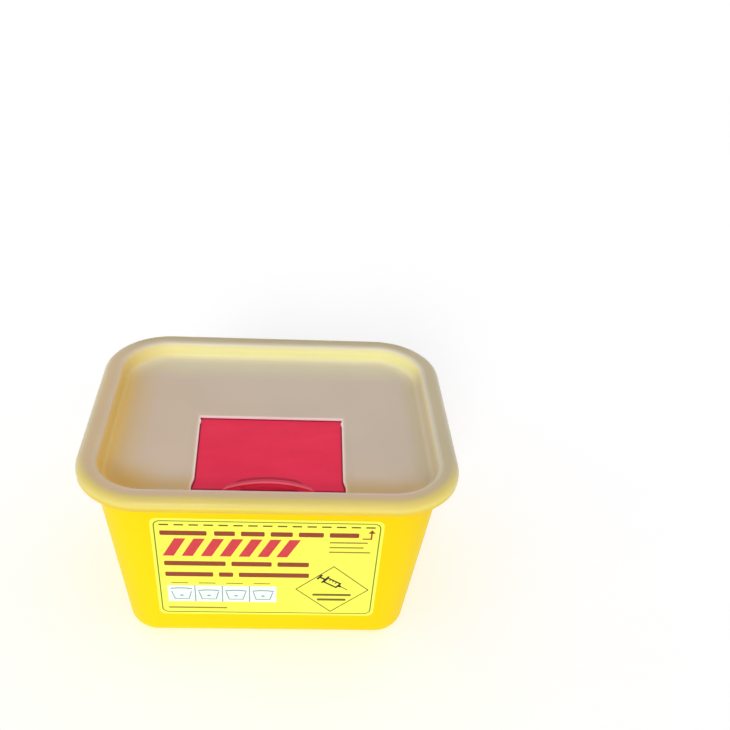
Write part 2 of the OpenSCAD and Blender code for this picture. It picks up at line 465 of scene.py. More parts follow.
def make_window_cutter():
    """The solid that cuts the window and its notches through the floor."""
    margin = 3.0
    right = window_side()
    left = [(-x, y) for x, y in reversed(right)]
    outline = right + left + needle_notch(-NOTCH_X) + needle_notch(NOTCH_X)
    bm = bmesh.new()
    add_prism(bm, outline, FLOOR_LOW - margin, FLOOR_TOP + margin)
    return new_object("window_cutter", bm)


def mirrored(side, x0, x1):
    """The x range of a box on one side of the centre plane, low end first."""
    return tuple(sorted((side * x0, side * x1)))


def make_lid_underworks():
    """Rails and stops under the floor, one closed solid each."""
    half = (SLIDE_HIGH.x - SLIDE_LOW.x) / 2
    web = half + RAIL_GAP
    into = FLOOR_LOW + LID_T / 2
    lip_top = SLIDE_LOW.z - SLIDE_GAP
    low = lip_top - LID_T
    front = SLIDE_LOW.y - RAIL_AHEAD
    rear = SLIDE_HIGH.y + SLIDE_TRAVEL + RAIL_PAST
    ramp = RAIL_RAMP
    tip = rear + STOP_TIP
    root = rear + STOP_ROOT
    bm = bmesh.new()
    for side in (-1, 1):
        web_x = mirrored(side, web, web + RAIL_WEB)
        lip_x = mirrored(side, half - RAIL_LIP, web + RAIL_WEB / 2)
        stop_x = mirrored(side, half - STOP_IN, web - STOP_CLEAR)
        lip_y = (front + 2 * ramp, rear - 2 * ramp)
        add_wedge(bm, (*web_x, front + ramp, rear - ramp, low), (*web_x, front, rear, into))
        add_wedge(bm, (*lip_x, *lip_y, low + RAIL_LIP_CHAMFER), (*lip_x, *lip_y, lip_top))
        add_wedge(bm, (*stop_x, rear, tip, SLIDE_LOW.z), (*stop_x, rear, root, into))
    stop_x = (-FRONT_STOP_HALF, FRONT_STOP_HALF)
    closed = SLIDE_LOW.y - FRONT_STOP_GAP
    tip = closed - FRONT_STOP_TIP
    root = closed - STOP_ROOT
    add_wedge(bm, (*stop_x, tip, closed, SLIDE_LOW.z), (*stop_x, root, closed, into))
    return new_object("underworks", bm)


def make_lid():
    """The lid: skirt, crown, recess and floor, with its window, rails and stops."""
    lid = shell("lid_moulding", lid_rings())
    boolean(lid, make_window_cutter(), "DIFFERENCE")
    boolean(lid, make_lid_underworks(), "UNION")
    finish_surface(lid, bevel_mm=0.3, angle=50, segments=3)
    lid.data.materials.append(lid_material())
    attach(lid, "lid")
    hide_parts("lid")
    return lid


# ---------------------------------------------------------------- slide
def arc_y(x, apex, radius):
    """How far forward an arc that bulges to the rear has fallen at x."""
    return apex - radius + math.sqrt(radius * radius - x * x)


def grip_section(share, base, full_height):
    """The rib's outline across its length, at a share from -1 to 1 of its half length."""
    x = share * GRIP_HALF
    rear = arc_y(x, GRIP_BACK, GRIP_R)
    front = max(arc_y(x, GRIP_BACK - GRIP_T, GRIP_FRONT_R), GRIP_FRONT)
    end = max(0.0, (abs(share) - GRIP_RUNOUT) / (1 - GRIP_RUNOUT))
    top = base + full_height * math.sqrt(max(0.0, 1 - end * end)) + GRIP_END_RISE
    rear_round = min(1.5, (rear - front) / 2, top - base)
    front_round = min(0.7, (rear - front) / 3, top - base)
    sunk = base - 0.8     # foot of the rib, inside the plate
    points = [Vector((x, rear, sunk))]
    for inward, rise in quarter_round(rear_round):
        points.append(Vector((x, rear - inward, top - rear_round + rise)))
    for inward, rise in reversed(quarter_round(front_round)):
        points.append(Vector((x, front + inward, top - front_round + rise)))
    points.append(Vector((x, front, sunk)))
    return points


def make_grip(base, height):
    """Half-moon rib whose top runs down into the plate at both ends."""
    turns = [2 * k / GRIP_STATIONS - 1 for k in range(GRIP_STATIONS + 1)]
    stations = [math.sin(math.pi / 2 * turn) for turn in turns]
    bm = bmesh.new()
    skin(bm, [[bm.verts.new(p) for p in grip_section(share, base, height)] for share in stations])
    return new_object("grip", bm)


def make_slide():
    """The slide: plate, lower front strip and grip."""
    half = (SLIDE_HIGH.x - SLIDE_LOW.x) / 2
    strip = SLIDE_LOW.y + STRIP_LENGTH
    low = SLIDE_LOW.z
    top = low + SLIDE_T
    bm = bmesh.new()
    profile = [
        (SLIDE_LOW.y, low), (SLIDE_HIGH.y, low), (SLIDE_HIGH.y, top),
        (strip + STRIP_SLOPE, top), (strip, top - STRIP_DROP), (SLIDE_LOW.y, top - STRIP_DROP),
    ]
    skin(bm, [[bm.verts.new((x, y, z)) for y, z in profile] for x in (-half, half)])
    slide = new_object("slide_moulding", bm)
    boolean(slide, make_grip(top, SLIDE_HIGH.z - top - GRIP_END_RISE), "UNION")
    finish_surface(slide, bevel_mm=0.4, angle=40, segments=3)
    slide.data.materials.append(slide_material())
    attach(slide, "slide")
    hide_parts("slide_cover")
    return slide


# ---------------------------------------------------------------- print on the sticker
TILT = math.atan((TUB_TOP_D - TUB_BASE_D) / 2 / SKIRT_Z)
RIGHT = Vector((1, 0, 0))
UP = Vector((0, -math.sin(TILT), math.cos(TILT)))
OUT = Vector((0, -math.cos(TILT), -math.sin(TILT)))
LABEL_CENTRE = (LABEL_LOW + LABEL_HIGH) / 2 + OUT * (LABEL_T / 2)


class Ink:
    """Thin raised print in one colour, drawn in millimetres across and up the sticker."""

    def __init__(self, name, thickness=INK_T):
        self.name = name
        self.thickness = thickness
        self.bm = bmesh.new()

    def vert(self, u, v, h):
        """Point u across and v up from the sticker's middle, h out of its face."""
        return self.bm.verts.new(LABEL_CENTRE + RIGHT * u + UP * v + OUT * h)

    def fill(self, outline):
        """Solid patch over an outline."""
        skin(self.bm, [[self.vert(u, v, h) for u, v in outline] for h in (-INK_T / 2, self.thickness)])

    def bar(self, u0, u1, v0, v1, radius):
        """Solid bar with rounded corners."""
        self.fill(round_box((u0 + u1) / 2, (v0 + v1) / 2, u1 - u0, v1 - v0, radius))

    def stroke(self, points, width, closed=False):
        """Line of one width with mitred corners."""
        left, right = offset_line(points, width / 2, closed)
        low, high = -INK_T / 2, self.thickness
        rows = []
        for a, b in zip(left, right):
            rows.append([self.vert(*p, h) for p, h in ((a, low), (b, low), (b, high), (a, high))])
        skin(self.bm, rows, closed)

    def finish(self, material):
        """Turns the drawn marks into one piece on the tub."""
        obj = new_object(self.name, self.bm)
        obj.data.materials.append(material)
        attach(obj, "tub")
        return obj


def round_box(u, v, width, height, radius, steps=5):
    """Outline of a rounded box round a point of the sticker."""
    outline = rounded_box(width / 2, height / 2, radius, steps)
    return [(u + across, v + up) for across, up in outline]


def offset_line(points, half, closed):
    """The left and right sides of a line, mitred where it turns."""
    left, right = [], []
    count = len(points)
    for i, (u, v) in enumerate(points):
        here = Vector((u, v))
        before = Vector(points[i - 1]) if closed or i > 0 else None
        after = Vector(points[(i + 1) % count]) if closed or i < count - 1 else None
        into = (here - before).normalized() if before is not None else (after - here).normalized()
        away = (after - here).normalized() if after is not None else into
        middle = (into + away).normalized()
        side = Vector((-middle.y, middle.x)) * (half / max(middle.dot(into), MITRE_LIMIT))
        left.append(tuple(here + side))
        right.append(tuple(here - side))
    return left, right


def print_frame():
    """Thin border round the sticker."""
    ink = Ink("print_border")
    width, height, radius, line = 152, 99.8, 4.5, 0.8
    ink.stroke(round_box(0, 0, width, height, radius, steps=8), line, closed=True)
    return ink.finish(ink_material("ink_green", (0.10, 0.20, 0.015)))


def print_fill_line():
    """Dashed line across the top, as a level mark."""
    ink = Ink("print_level_line")
    dashes, dash, first, last = 15, 6.4, -72.5, 72.5
    low, high, radius = 45.5, 46.8, 0.3
    pitch = (last - first - dash) / (dashes - 1)
    for k in range(dashes):
        start = first + k * pitch
        ink.bar(start, start + dash, low, high, radius)
    return ink.finish(ink_material("ink_olive", (0.10, 0.075, 0.01)))


# middle, height and the (start, end) of each bar, row by row
BAR_ROWS = (
    (37.9, 4.6, ((-72.5, -41), (-36, -22), (-18, -2), (2, 17), (21, 38), (42, 62))),
    (6.0, 4.8, ((-71.5, -29), (-25, 3), (7, 29))),
    (-6.0, 4.8, ((-71.5, -38), (-34, -24), (-20, 29.5))),
)
ARROW_STEM = ((64.5, 34.6), (70.5, 34.6), (70.5, 40.5))
ARROW_HEAD = ((68.0, 40.3), (73.0, 40.3), (70.5, 43.8))


def print_bars():
    """Rows of plain bars where a real sticker carries its wording, and the level mark's arrow."""
    ink = Ink("print_bars")
    for middle, height, spans in BAR_ROWS:
        for start, end in spans:
            ink.bar(start, end, middle - height / 2, middle + height / 2, radius=1.0)
    ink.stroke(ARROW_STEM, 1.1)
    ink.fill(ARROW_HEAD)
    return ink.finish(ink_material("ink_brown", (0.27, 0.04, 0.012)))


def print_stripes():
    """Broad slanted stripes, the sticker's strongest mark."""
    ink = Ink("print_stripes")
    low, high, left, right = 14.0, 32.4, -72.0, 26.6
    lean, width, gap = 9.0, 7.6, 5.4
    start = left
    while start + lean + width <= right + 0.01:
        end = start + width
        ink.fill(((start, low), (end, low), (end + lean, high), (start + lean, high)))
        start += width + gap
    return ink.finish(ink_material("ink_crimson", (0.60, 0.035, 0.05)))


def print_small_lines():
    """Fine lines: three at the top right, captions, and one at the foot."""
    ink = Ink("print_small_lines")
    first, half = 42.3, 0.7
    for middle, end in ((30.3, 68.5), (25.2, 66.0), (20.2, 71.0)):
        ink.bar(first, end, middle - half, middle + half, radius=0.6)
    first, pitch, length = -68, 19.4, 12
    for k in range(4):
        start = first + pitch * k
        ink.bar(start, start + length, -16.3, -15.3, radius=0.45)
    ink.bar(-71.5, -29, -45.4, -43.8, radius=0.7)
    return ink.finish(ink_material("ink_faded", (0.30, 0.24, 0.03)))


PANEL = (-71.0, 6.8, -37.4, -18.8)    # left, right, low and high edges
PANEL_COUNT = 4


def print_panels():
    """Four white panels in a row."""
    ink = Ink("print_panels", thickness=INK_T * 0.6)
    left, right, low, high = PANEL
    ink.bar(left, right, low, high, radius=0.4)
    return ink.finish(ink_material("ink_white", (0.78, 0.89, 0.86)))


def print_panel_icons():
    """Dividers and a small outline of a box and lid in each panel."""
    ink = Ink("print_panel_icons", thickness=INK_T)
    left, right, low, high = PANEL
    pitch = (right - left) / PANEL_COUNT
    v = low + 8.2
    box_top, box_low, lid_rise = v + 3.5, v - 5, 0.8
    for k in range(1, PANEL_COUNT):
        ink.stroke(((left + pitch * k, low), (left + pitch * k, high)), 0.6)
    for k in range(PANEL_COUNT):
        u = left + pitch * (k + 0.5)
        ink.stroke(((u - 7, box_top), (u - 5, box_low), (u + 5, box_low), (u + 7, box_top)), 0.6)
        ink.fill(round_box(u, v - 1, 2.4, 1.2, 0.4))
        lid_v = v + (6.6 if k == 0 else 4.6)
        crown = lid_v + lid_rise
        ink.stroke(((u - 7.6, lid_v), (u - 3, crown), (u + 3, crown), (u + 7.6, lid_v)), 0.9)
    return ink.finish(ink_material("ink_slate", (0.16, 0.22, 0.27)))


DIAMOND = (46.7, -21.5, 26.0)    # middle across, middle up, half diagonal


def print_diamond():
    """Thin diamond outline with two fine bars in its lower half."""
    ink = Ink("print_diamond")
    u, v, half = DIAMOND
    ink.stroke(((u + half, v), (u, v + half), (u - half, v), (u, v - half)), 0.8, closed=True)
    for half_length, top in ((14, v - 5.0), (10.5, v - 10.6)):
        ink.bar(u - half_length, u + half_length, top - 2.4, top, radius=0.9)
    return ink.finish(ink_material("ink_moss", (0.15, 0.13, 0.012)))


SYRINGE_RISE = 7.6    # above the diamond's middle
SYRINGE_TURN = -35    # degrees

# along and across the syringe, from its middle
BARREL = ((-6, -2.6), (5, -2.6), (5, 2.6), (-6, 2.6))
HUB = ((5.6, -1.4), (7.4, -0.7), (7.4, 0.7), (5.6, 1.4))
SYRINGE_LINES = (
    (((-6.6, 0), (-11, 0)), 1.5),             # plunger
    (((-11.6, -3), (-11.6, 3)), 1.5),         # thumb rest
    (((-6.6, -4.4), (-6.6, 4.4)), 1.4),       # finger rest
    (((7.2, 0), (13.5, 0)), 0.7),             # needle
    (((-3.4, 0.4), (-3.4, 2.2)), 0.7),        # scale marks
    (((-0.8, 0.4), (-0.8, 2.2)), 0.7),
    (((1.8, 0.4), (1.8, 2.2)), 0.7),
)


def print_syringe():
    """Pictogram of a syringe inside the diamond, pointing down to the right."""
    ink = Ink("print_syringe")
    u, v, _ = DIAMOND
    centre = Vector((u, v + SYRINGE_RISE))
    turn = math.radians(SYRINGE_TURN)
    along = Vector((math.cos(turn), math.sin(turn)))
    across = Vector((-along.y, along.x))

    def placed(points):
        """Points given along and across the syringe, put on the sticker."""
        return [tuple(centre + along * a + across * b) for a, b in points]

    ink.stroke(placed(BARREL), 1.3, closed=True)
    ink.fill(placed(HUB))
    for points, width in SYRINGE_LINES:
        ink.stroke(placed(points), width)
    return ink.finish(ink_material("ink_black", (0.02, 0.016, 0.01)))


# ---------------------------------------------------------------- materials
MIX_INPUTS = (0, 6, 7)    # sockets of the Mix node's factor and two colours
MIX_OUTPUT = 2


class Nodes:
    """A Principled material with helpers for its procedural inputs."""

    def __init__(self, name):
        self.mat = bpy.data.materials.new(name)
        self.mat.use_nodes = True
        self.tree = self.mat.node_tree
        self.bsdf = self.tree.nodes["Principled BSDF"]
        self.coords = self.tree.nodes.new("ShaderNodeTexCoord").outputs["Object"]

    def add(self, kind, **settings):
        """A new node, with its properties set."""
        node = self.tree.nodes.new(kind)
        for key, value in settings.items():
            setattr(node, key, value)
        return node

    def link(self, source, socket):
        """Joins an output to an input."""
        self.tree.links.new(source, socket)

    def feed(self, value, socket):
        """Puts a number, a colour or another node's output into a socket."""
        if isinstance(value, (int, float)):
            socket.default_value = value
        elif isinstance(value, tuple):
            socket.default_value = (*value, 1)
        else:
            self.link(value, socket)

    def noise(self, scale, detail=3.0, stretch=None):
        """Cloudy values about 0.5, in the object's own coordinates."""
        vector = self.coords
        if stretch:
            mapping = self.add("ShaderNodeMapping")
            mapping.inputs["Scale"].default_value = stretch
            self.link(self.coords, mapping.inputs["Vector"])
            vector = mapping.outputs["Vector"]
        node = self.add("ShaderNodeTexNoise")
        node.inputs["Scale"].default_value = scale
        node.inputs["Detail"].default_value = detail
        self.link(vector, node.inputs["Vector"])
        return node.outputs["Fac"]

    def ramp(self, factor, stops):
        """Colours along a factor, from (position, colour) stops."""
        node = self.add("ShaderNodeValToRGB")
        elements = node.color_ramp.elements
        while len(elements) < len(stops):
            elements.new(0.5)
        for element, (position, colour) in zip(elements, stops):
            element.position = position
            element.color = (*colour, 1)
        self.link(factor, node.inputs["Fac"])
        return node.outputs["Color"]

    def mix(self, factor, a, b, blend="MIX"):
        """Colour a, mixed with b by a factor."""
        node = self.add("ShaderNodeMix", data_type="RGBA", blend_type=blend)
        for value, socket in zip((factor, a, b), MIX_INPUTS):
            self.feed(value, node.inputs[socket])
        return node.outputs[MIX_OUTPUT]

    def scaled(self, factor, low, high):
        """The usual spread of a noise, brought to the range from low to high."""
        node = self.add("ShaderNodeMapRange")
        node.inputs["From Min"].default_value = 0.25
        node.inputs["From Max"].default_value = 0.75
        node.inputs["To Min"].default_value = low
        node.inputs["To Max"].default_value = high
        self.link(factor, node.inputs["Value"])
        return node.outputs["Result"]

    def math(self, operation, a, b=0.0):
        """One operation on two values."""
        node = self.add("ShaderNodeMath", operation=operation)
        self.feed(a, node.inputs[0])
        self.feed(b, node.inputs[1])
        return node.outputs["Value"]

    def product(self, first, *others):
        """All the values multiplied together."""
        for other in others:
            first = self.math("MULTIPLY", first, other)
        return first

    def vector(self, operation, a, b=(0, 0, 0)):
        """One operation on a vector and a constant one."""
        node = self.add("ShaderNodeVectorMath", operation=operation)
        self.link(a, node.inputs[0])
        node.inputs[1].default_value = b
        return node.outputs["Value" if operation == "LENGTH" else "Vector"]

    def separate(self, vector):
        """The vector's X, Y and Z."""
        node = self.add("ShaderNodeSeparateXYZ")
        self.link(vector, node.inputs[0])
        return node.outputs

    def flat(self, vector):
        """The vector with no height."""
        return self.vector("MULTIPLY", vector, (1, 1, 0))

    def between(self, value, start, end):
        """A smooth rise from 0 at start to 1 at end."""
        node = self.add("ShaderNodeMapRange", interpolation_type="SMOOTHSTEP")
        node.inputs["From Min"].default_value = start
        node.inputs["From Max"].default_value = end
        self.link(value, node.inputs["Value"])
        return node.outputs["Result"]

    def zone(self, place, limits):
        """A smooth rise from 0 to 1 between two places in millimetres."""
        start, end = limits
        return self.between(place, start * MM, end * MM)

    def bump(self, height, strength, distance):
        """Fine grain in the surface's normal."""
        node = self.add("ShaderNodeBump")
        node.inputs["Strength"].default_value = strength
        node.inputs["Distance"].default_value = distance
        self.link(height, node.inputs["Height"])
        self.link(node.outputs["Normal"], self.bsdf.inputs["Normal"])

    def set(self, **values):
        """Sets constant inputs of the Principled shader, named with underscores."""
        for key, value in values.items():
            self.bsdf.inputs[key.replace("_", " ")].default_value = value


TUB_SHADE_X = (-90, 120)    # from the lit left tint to the painted shade on the right


def tub_material():
    """Glossy yellow polypropylene: cloudy colour, fine grain, a little light passing through, and
    painted shade that turns it more orange towards the right.
    """
    m = Nodes("tub_yellow")
    cloud = m.noise(9, 4)
    # left is the lit tint; right is painted shade, more orange, turned away from the key light
    left = m.ramp(cloud, ((0.3, (0.89, 0.67, 0.002)), (0.7, (0.91, 0.71, 0.003))))
    right = m.ramp(cloud, ((0.3, (0.90, 0.61, 0.001)), (0.7, (0.92, 0.65, 0.002))))
    base = m.mix(m.zone(m.separate(m.coords)["X"], TUB_SHADE_X), left, right)
    m.link(base, m.bsdf.inputs["Base Color"])
    m.link(m.scaled(m.noise(60, 5), 0.36, 0.46), m.bsdf.inputs["Roughness"])
    m.bump(m.noise(900, 3), 0.06, 0.0004)
    m.set(IOR=1.49, Specular_IOR_Level=0.06, Subsurface_Weight=0.1, Subsurface_Scale=0.004)
    m.bsdf.inputs["Subsurface Radius"].default_value = (1.0, 0.7, 0.1)
    return m.mat


def box_distance(m, half_x, half_y, radius):
    """Distance out from a rounded box's edge seen from above, in millimetres, negative inside."""
    straight = ((half_x - radius) * MM, (half_y - radius) * MM, 0)
    core = m.vector("SUBTRACT", m.vector("ABSOLUTE", m.coords), straight)
    apart = m.separate(core)
    outside = m.vector("LENGTH", m.vector("MAXIMUM", m.flat(core), (0, 0, 0)))
    inside = m.math("MINIMUM", m.math("MAXIMUM", apart["X"], apart["Y"]), 0.0)
    distance = m.math("ADD", outside, inside)
    return m.math("SUBTRACT", m.math("MULTIPLY", distance, 1 / MM), radius)


def window_distance(m):
    """Distance out from the window's edge seen from above, in millimetres, negative inside."""
    place = m.separate(m.coords)
    flare = m.math("MULTIPLY", m.between(place["Y"], FLARE_START * MM, FLARE_END * MM), -WINDOW_FLARE)
    lean = (window_edge(0) - window_edge(-1)) / MM
    half = m.math("ADD", m.math("MULTIPLY", place["Y"], -lean), -window_edge(0))
    across = m.math("MULTIPLY", m.math("ABSOLUTE", place["X"]), 1 / MM)
    across = m.math("ADD", across, m.math("ADD", half, flare))
    along = m.math("MULTIPLY", place["Y"], 1 / MM)
    along = m.math("ABSOLUTE", m.math("ADD", along, -(WINDOW_REAR + WINDOW_FRONT) / 2))
    along = m.math("SUBTRACT", along, (WINDOW_REAR - WINDOW_FRONT) / 2)
    return m.math("MAXIMUM", across, along)


LID_ZONES = (
    # inset as a share of the corner radius, tint at the right and rear, tint at the left and front.
    # The tints are painted light: lighter and warmer at the left and front where the key falls, a
    # painted highlight on the crown's inner edge from 0.236 to 0.28, and the recess wall and skirt
    # yellowed by a painted glow of the tub behind them
    (0.00, (0.90, 0.82, 0.62), (0.96, 0.86, 0.58)),
    (0.08, (0.80, 0.70, 0.50), (0.90, 0.76, 0.48)),
    (0.14, (0.80, 0.68, 0.44), (0.92, 0.69, 0.42)),
    (0.218, (0.80, 0.68, 0.44), (0.92, 0.69, 0.42)),
    (0.236, (0.92, 0.83, 0.64), (0.93, 0.74, 0.52)),
    (0.28, (0.92, 0.83, 0.64), (0.93, 0.72, 0.48)),
    (0.31, (1.00, 0.95, 0.40), (0.90, 0.62, 0.18)),
    (0.42, (0.97, 0.86, 0.58), (0.97, 0.64, 0.20)),
    (0.60, (0.89, 0.75, 0.60), (0.95, 0.70, 0.40)),
    (0.90, (0.89, 0.74, 0.60), (0.93, 0.74, 0.57)),
)
SKIRT_TINTS = (
    # height as a share of the skirt and crown, tint: the tub's yellow painted through the skirt as a
    # painted glow, lightest about half way up as a painted streak of light
    (0.0, (1.0, 0.70, 0.10)),
    (0.2, (1.0, 0.78, 0.06)),
    (0.55, (1.0, 0.88, 0.22)),
    (1.0, (1.0, 0.82, 0.24)),
)
CLEARNESS = (
    # inset as a share of the corner radius, how much light passes through
    (0.10, (0.3, 0.3, 0.3)),
    (0.26, (0.3, 0.3, 0.3)),
    (0.30, (0.0, 0.0, 0.0)),
    (0.55, (0.3, 0.3, 0.3)),
)
WARM_SIDE = (-4.8, -6.4)       # how fast the left and the front count as warm, per metre: the side of the painted key light and tub glow
WARM_RANGE = (-0.35, 0.35)
# places of the painted light, glow and shade patches in the lid's colour, in millimetres
REAR_CROWN_Y = (82, 94)
REAR_FLOOR_Y = (52, 82)
RIGHT_WALL_X = (98, 112)
RIGHT_WALL_Y = (78, 45)
NEAR_FLOOR_Y = (-56, -80)
NEAR_CORNER_X = (-66, -100)
NEAR_CORNER_Y = (-42, -76)
LIT_EDGE_Y = (-86, -90)
FRONT_Y = (-45, -88)
FRONT_ROUND = (-7.6, -3.4)     # from the skirt's edge
WINDOW_RIM = (0.95, 0.35)      # from the window's edge
CLEAR_PAST_RIM = (0.6, 2.5)


def lid_material():
    """Milky natural polypropylene with painted light and shade: a painted glow of the yellow tub where
    its wall lies close behind, lighter at the left and front where the key falls, painted shade on the
    rear crown and right wall, and painted highlights on the crown's inner edge and the window's rim.
    """
    m = Nodes("lid_milky")
    edge = box_distance(m, LID_W / 2, LID_D / 2, LID_R)
    share = m.math("MULTIPLY", edge, -1 / LID_R)
    rim = window_distance(m)
    place = m.separate(m.coords)
    x, y = place["X"], place["Y"]
    cool = m.ramp(share, [(at, tint) for at, tint, _ in LID_ZONES])
    warm = m.ramp(share, [(at, tint) for at, _, tint in LID_ZONES])
    side = m.math("ADD", m.math("MULTIPLY", x, WARM_SIDE[0]), m.math("MULTIPLY", y, WARM_SIDE[1]))
    tint = m.mix(m.between(side, *WARM_RANGE), cool, warm)

    on_crown = m.between(share, 0.21, 0.12)
    past_crown = m.between(share, 0.27, 0.32)
    past_wall = m.between(share, 0.34, 0.42)
    inner_crown = m.product(m.between(share, 0.218, 0.236), m.between(share, 0.30, 0.28))
    near_corner = m.product(m.zone(x, NEAR_CORNER_X), m.zone(y, NEAR_CORNER_Y), past_crown)
    skirt = m.ramp(m.between(place["Z"], SKIRT_Z * MM, (HEIGHT - 1.5) * MM), SKIRT_TINTS)
    # painted light and shade, one patch each
    painted_light_patches = (
        # painted shade on the rear crown
        (m.product(m.zone(y, REAR_CROWN_Y), on_crown), (0.71, 0.59, 0.33)),
        # painted light and tub glow on the floor at the foot of the rear wall
        (m.product(m.zone(y, REAR_FLOOR_Y), past_wall), (1.0, 0.90, 0.67)),
        # painted shade on the right inner wall, turned away from the key
        (m.product(m.zone(x, RIGHT_WALL_X), m.zone(y, RIGHT_WALL_Y), past_crown), (0.74, 0.62, 0.42)),
        # painted orange glow of the tub along the front of the floor
        (m.product(m.zone(y, NEAR_FLOOR_Y), past_crown, 0.6), (0.98, 0.65, 0.24)),
        # painted light, orange with the tub's glow, in the front left corner of the floor
        (near_corner, (1.0, 0.62, 0.13)),
        # painted tub glow and streak of light on the front of the skirt's rounding
        (m.product(m.between(edge, *FRONT_ROUND), m.zone(y, FRONT_Y)), skirt),
        # painted highlight on the crown's inner edge at the front
        (m.product(inner_crown, m.zone(y, LIT_EDGE_Y)), (1.0, 0.76, 0.70)),
        # painted highlight along the window's cut edge
        (m.between(rim, *WINDOW_RIM), (1.0, 0.80, 0.82)),
    )
    for mask, patch_tint in painted_light_patches:
        tint = m.mix(mask, tint, patch_tint)
    cloud = m.ramp(m.noise(14, 5, (1, 1, 4)), ((0.3, (0.94, 0.94, 0.94)), (0.7, (1, 1, 1))))
    m.link(m.mix(1.0, tint, cloud, "MULTIPLY"), m.bsdf.inputs["Base Color"])
    m.link(m.scaled(m.noise(40, 3), 0.32, 0.38), m.bsdf.inputs["Roughness"])
    clear = m.mix(m.between(rim, *CLEAR_PAST_RIM), (0.0, 0.0, 0.0), m.ramp(share, CLEARNESS))
    m.link(clear, m.bsdf.inputs["Transmission Weight"])
    m.bump(m.noise(500, 2), 0.04, 0.0002)
    m.set(IOR=1.4, Specular_IOR_Level=0.5, Subsurface_Weight=0.15, Subsurface_Scale=0.003)
    m.bsdf.inputs["Subsurface Radius"].default_value = (1.0, 0.9, 0.7)
    return m.mat


def arc_distance(m, apex, radius):
    """Distance to the rear of an arc that bulges to the rear, in millimetres."""
    centre = m.vector("SUBTRACT", m.coords, (0, (apex - radius) * MM, 0))
    return m.math("SUBTRACT", m.math("MULTIPLY", m.vector("LENGTH", m.flat(centre)), 1 / MM), radius)


SHADE_ARC = (0.5, -0.7)              # about the outer line of the shade behind the grip
SHADE_DEPTH = (-3.5, -0.5)           # from that line, where the shade gets darker
SHADE_ENDS = (0.018, 0.032)          # metres from the middle, where the shade narrows
# where the grip's painted lighter front face ends, out from the middle
BRIGHT_ENDS = (0.028, 0.018)
# the painted shadow in the step down to the front strip
STEP_REAR_Y = (WINDOW_FRONT + 6.6, WINDOW_FRONT + 5.4)
STEP_FRONT_Y = (WINDOW_FRONT + 2.6, WINDOW_FRONT + 4.4)
EDGE_SHADE = (-1.4, -0.5)            # from the window's edge
PLATE_TOP = SLIDE_LOW.z + SLIDE_T


def slide_material():
    """Satin red polypropylene with painted light and shade: painted shadows behind the grip, under the
    window's edges and in the front step, a painted lighter front face and duller painted sheen on the
    grip, and a painted highlight along its front top edge.
    """
    m = Nodes("slide_red")
    place = m.separate(m.coords)
    apart = m.math("ABSOLUTE", place["X"])
    rear_arc = arc_distance(m, GRIP_BACK, GRIP_R)
    front_arc = arc_distance(m, GRIP_BACK - GRIP_T, GRIP_FRONT_R)
    on_grip = m.zone(place["Z"], (PLATE_TOP + 0.2, PLATE_TOP + 0.8))
    grip_top = m.zone(place["Z"], (SLIDE_HIGH.z - 1.0, SLIDE_HIGH.z - 0.5))
    front_face = m.product(on_grip, m.between(front_arc, 0.2, -0.2), m.between(apart, *BRIGHT_ENDS))
    crest = m.product(m.between(m.math("ABSOLUTE", front_arc), 1.3, 0.5), grip_top)

    # painted shadow behind the grip, narrowing towards its ends
    narrowed = m.math("MULTIPLY", m.between(apart, *SHADE_ENDS), GRIP_SHADE)
    behind = m.math("ADD", rear_arc, narrowed)
    outer, inner = (GRIP_SHADE + offset for offset in SHADE_ARC)
    weak, strong = (GRIP_SHADE + offset for offset in SHADE_DEPTH)
    depth = m.scaled(m.between(behind, weak, strong), 0.3, 0.7)
    # corner is the painted shadow behind the grip
    corner = m.product(m.between(behind, outer, inner), m.between(rear_arc, -0.6, 0.0), depth)
    # painted shadow under the window's edge
    edge = m.between(window_distance(m), *EDGE_SHADE)
    # painted shadow in the step to the front strip
    step = m.product(m.zone(place["Y"], STEP_REAR_Y), m.zone(place["Y"], STEP_FRONT_Y))
    deepest_shade = m.math("MAXIMUM", m.math("MAXIMUM", corner, edge), step)
    painted_shade = m.product(deepest_shade, m.math("SUBTRACT", 1.0, on_grip), 0.8)

    cloud = m.noise(22, 4, (1, 2.5, 1))
    base = m.ramp(cloud, ((0.3, (0.87, 0.014, 0.070)), (0.7, (0.94, 0.021, 0.086))))
    # painted sheen: the grip's top duller pink
    base = m.mix(grip_top, base, (0.72, 0.055, 0.12))
    # painted light: the grip's front face lighter
    base = m.mix(front_face, base, (1.0, 0.03, 0.10))
    # painted highlight along the grip's front top edge
    base = m.mix(crest, base, (1.0, 0.16, 0.24))
    # painted shade behind the grip, under the window's edges and in the front step
    base = m.mix(painted_shade, base, (0.24, 0.002, 0.024))
    m.link(base, m.bsdf.inputs["Base Color"])
    m.link(m.scaled(m.noise(80, 5), 0.36, 0.48), m.bsdf.inputs["Roughness"])
    m.bump(m.noise(900, 3), 0.08, 0.0004)
    m.set(Specular_IOR_Level=0.22, Subsurface_Weight=0.08, Subsurface_Scale=0.003)
    return m.mat


def sticker_material():
    """Smooth printed film in a lighter yellow."""
    m = Nodes("sticker_yellow")
    cloud = m.noise(12, 4)
    base = m.ramp(cloud, ((0.3, (0.97, 0.93, 0.075)), (0.7, (1.0, 0.97, 0.10))))
    m.link(base, m.bsdf.inputs["Base Color"])
    m.link(m.scaled(m.noise(30, 3), 0.33, 0.39), m.bsdf.inputs["Roughness"])
    m.bump(m.noise(160, 3), 0.05, 0.0003)
    m.set(Specular_IOR_Level=0.3)
    return m.mat


